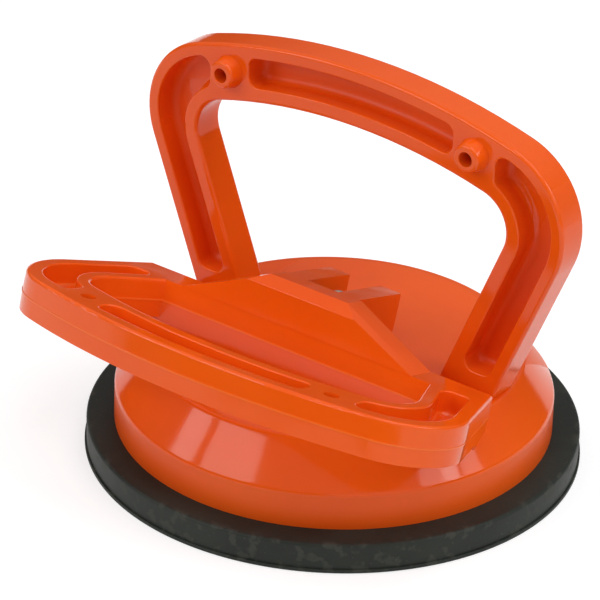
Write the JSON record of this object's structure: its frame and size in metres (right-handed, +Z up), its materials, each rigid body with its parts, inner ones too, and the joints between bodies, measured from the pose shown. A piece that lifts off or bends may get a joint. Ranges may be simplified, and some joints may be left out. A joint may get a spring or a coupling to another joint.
{
  "type": "glass suction cup lifter",
  "caption": "Single-cup glass lifter: rubber suction pad under a round moulded housing with a bow handle, and a hinged cam lever that closes against the bow.",
  "frame": {"origin": "middle of the pad's flat sealing face, where it rests on the glass", "axes": "+Z up from the glass, +X along the bow handle and the lever's grip, the lever's grip points towards -Y"},
  "size_m": [0.12, 0.1217, 0.0963],
  "materials": {
    "orange_abs": "gloss moulded ABS",
    "black_rubber": "matt",
    "zinc_steel": "zinc plated"
  },
  "bodies": {
    "base": {"housing": "orange_abs", "rubber_pad": "black_rubber"},
    "lifter": {"anchor_plate": "zinc_steel", "stud": "zinc_steel", "pivot_barrel": "zinc_steel", "lock_nut": "zinc_steel"},
    "lever": {"lever": "orange_abs"}
  },
  "joints": [
    {"name": "bolt_lift", "type": "slide", "parent": "base", "child": "lifter", "axis": [0, 0, 1], "range_m": [0, 0.003], "deforming": ["rubber_pad"]},
    {"name": "lever_hinge", "type": "hinge", "parent": "lifter", "child": "lever", "pos_m": [0, 0, 0.03134], "axis": [-1, 0, 0], "range_deg": [0, 70.58]}
  ],
  "couplings": [
    {"joint": "bolt_lift", "follows": "lever_hinge", "m_per_rad": 0.002435}
  ]
}
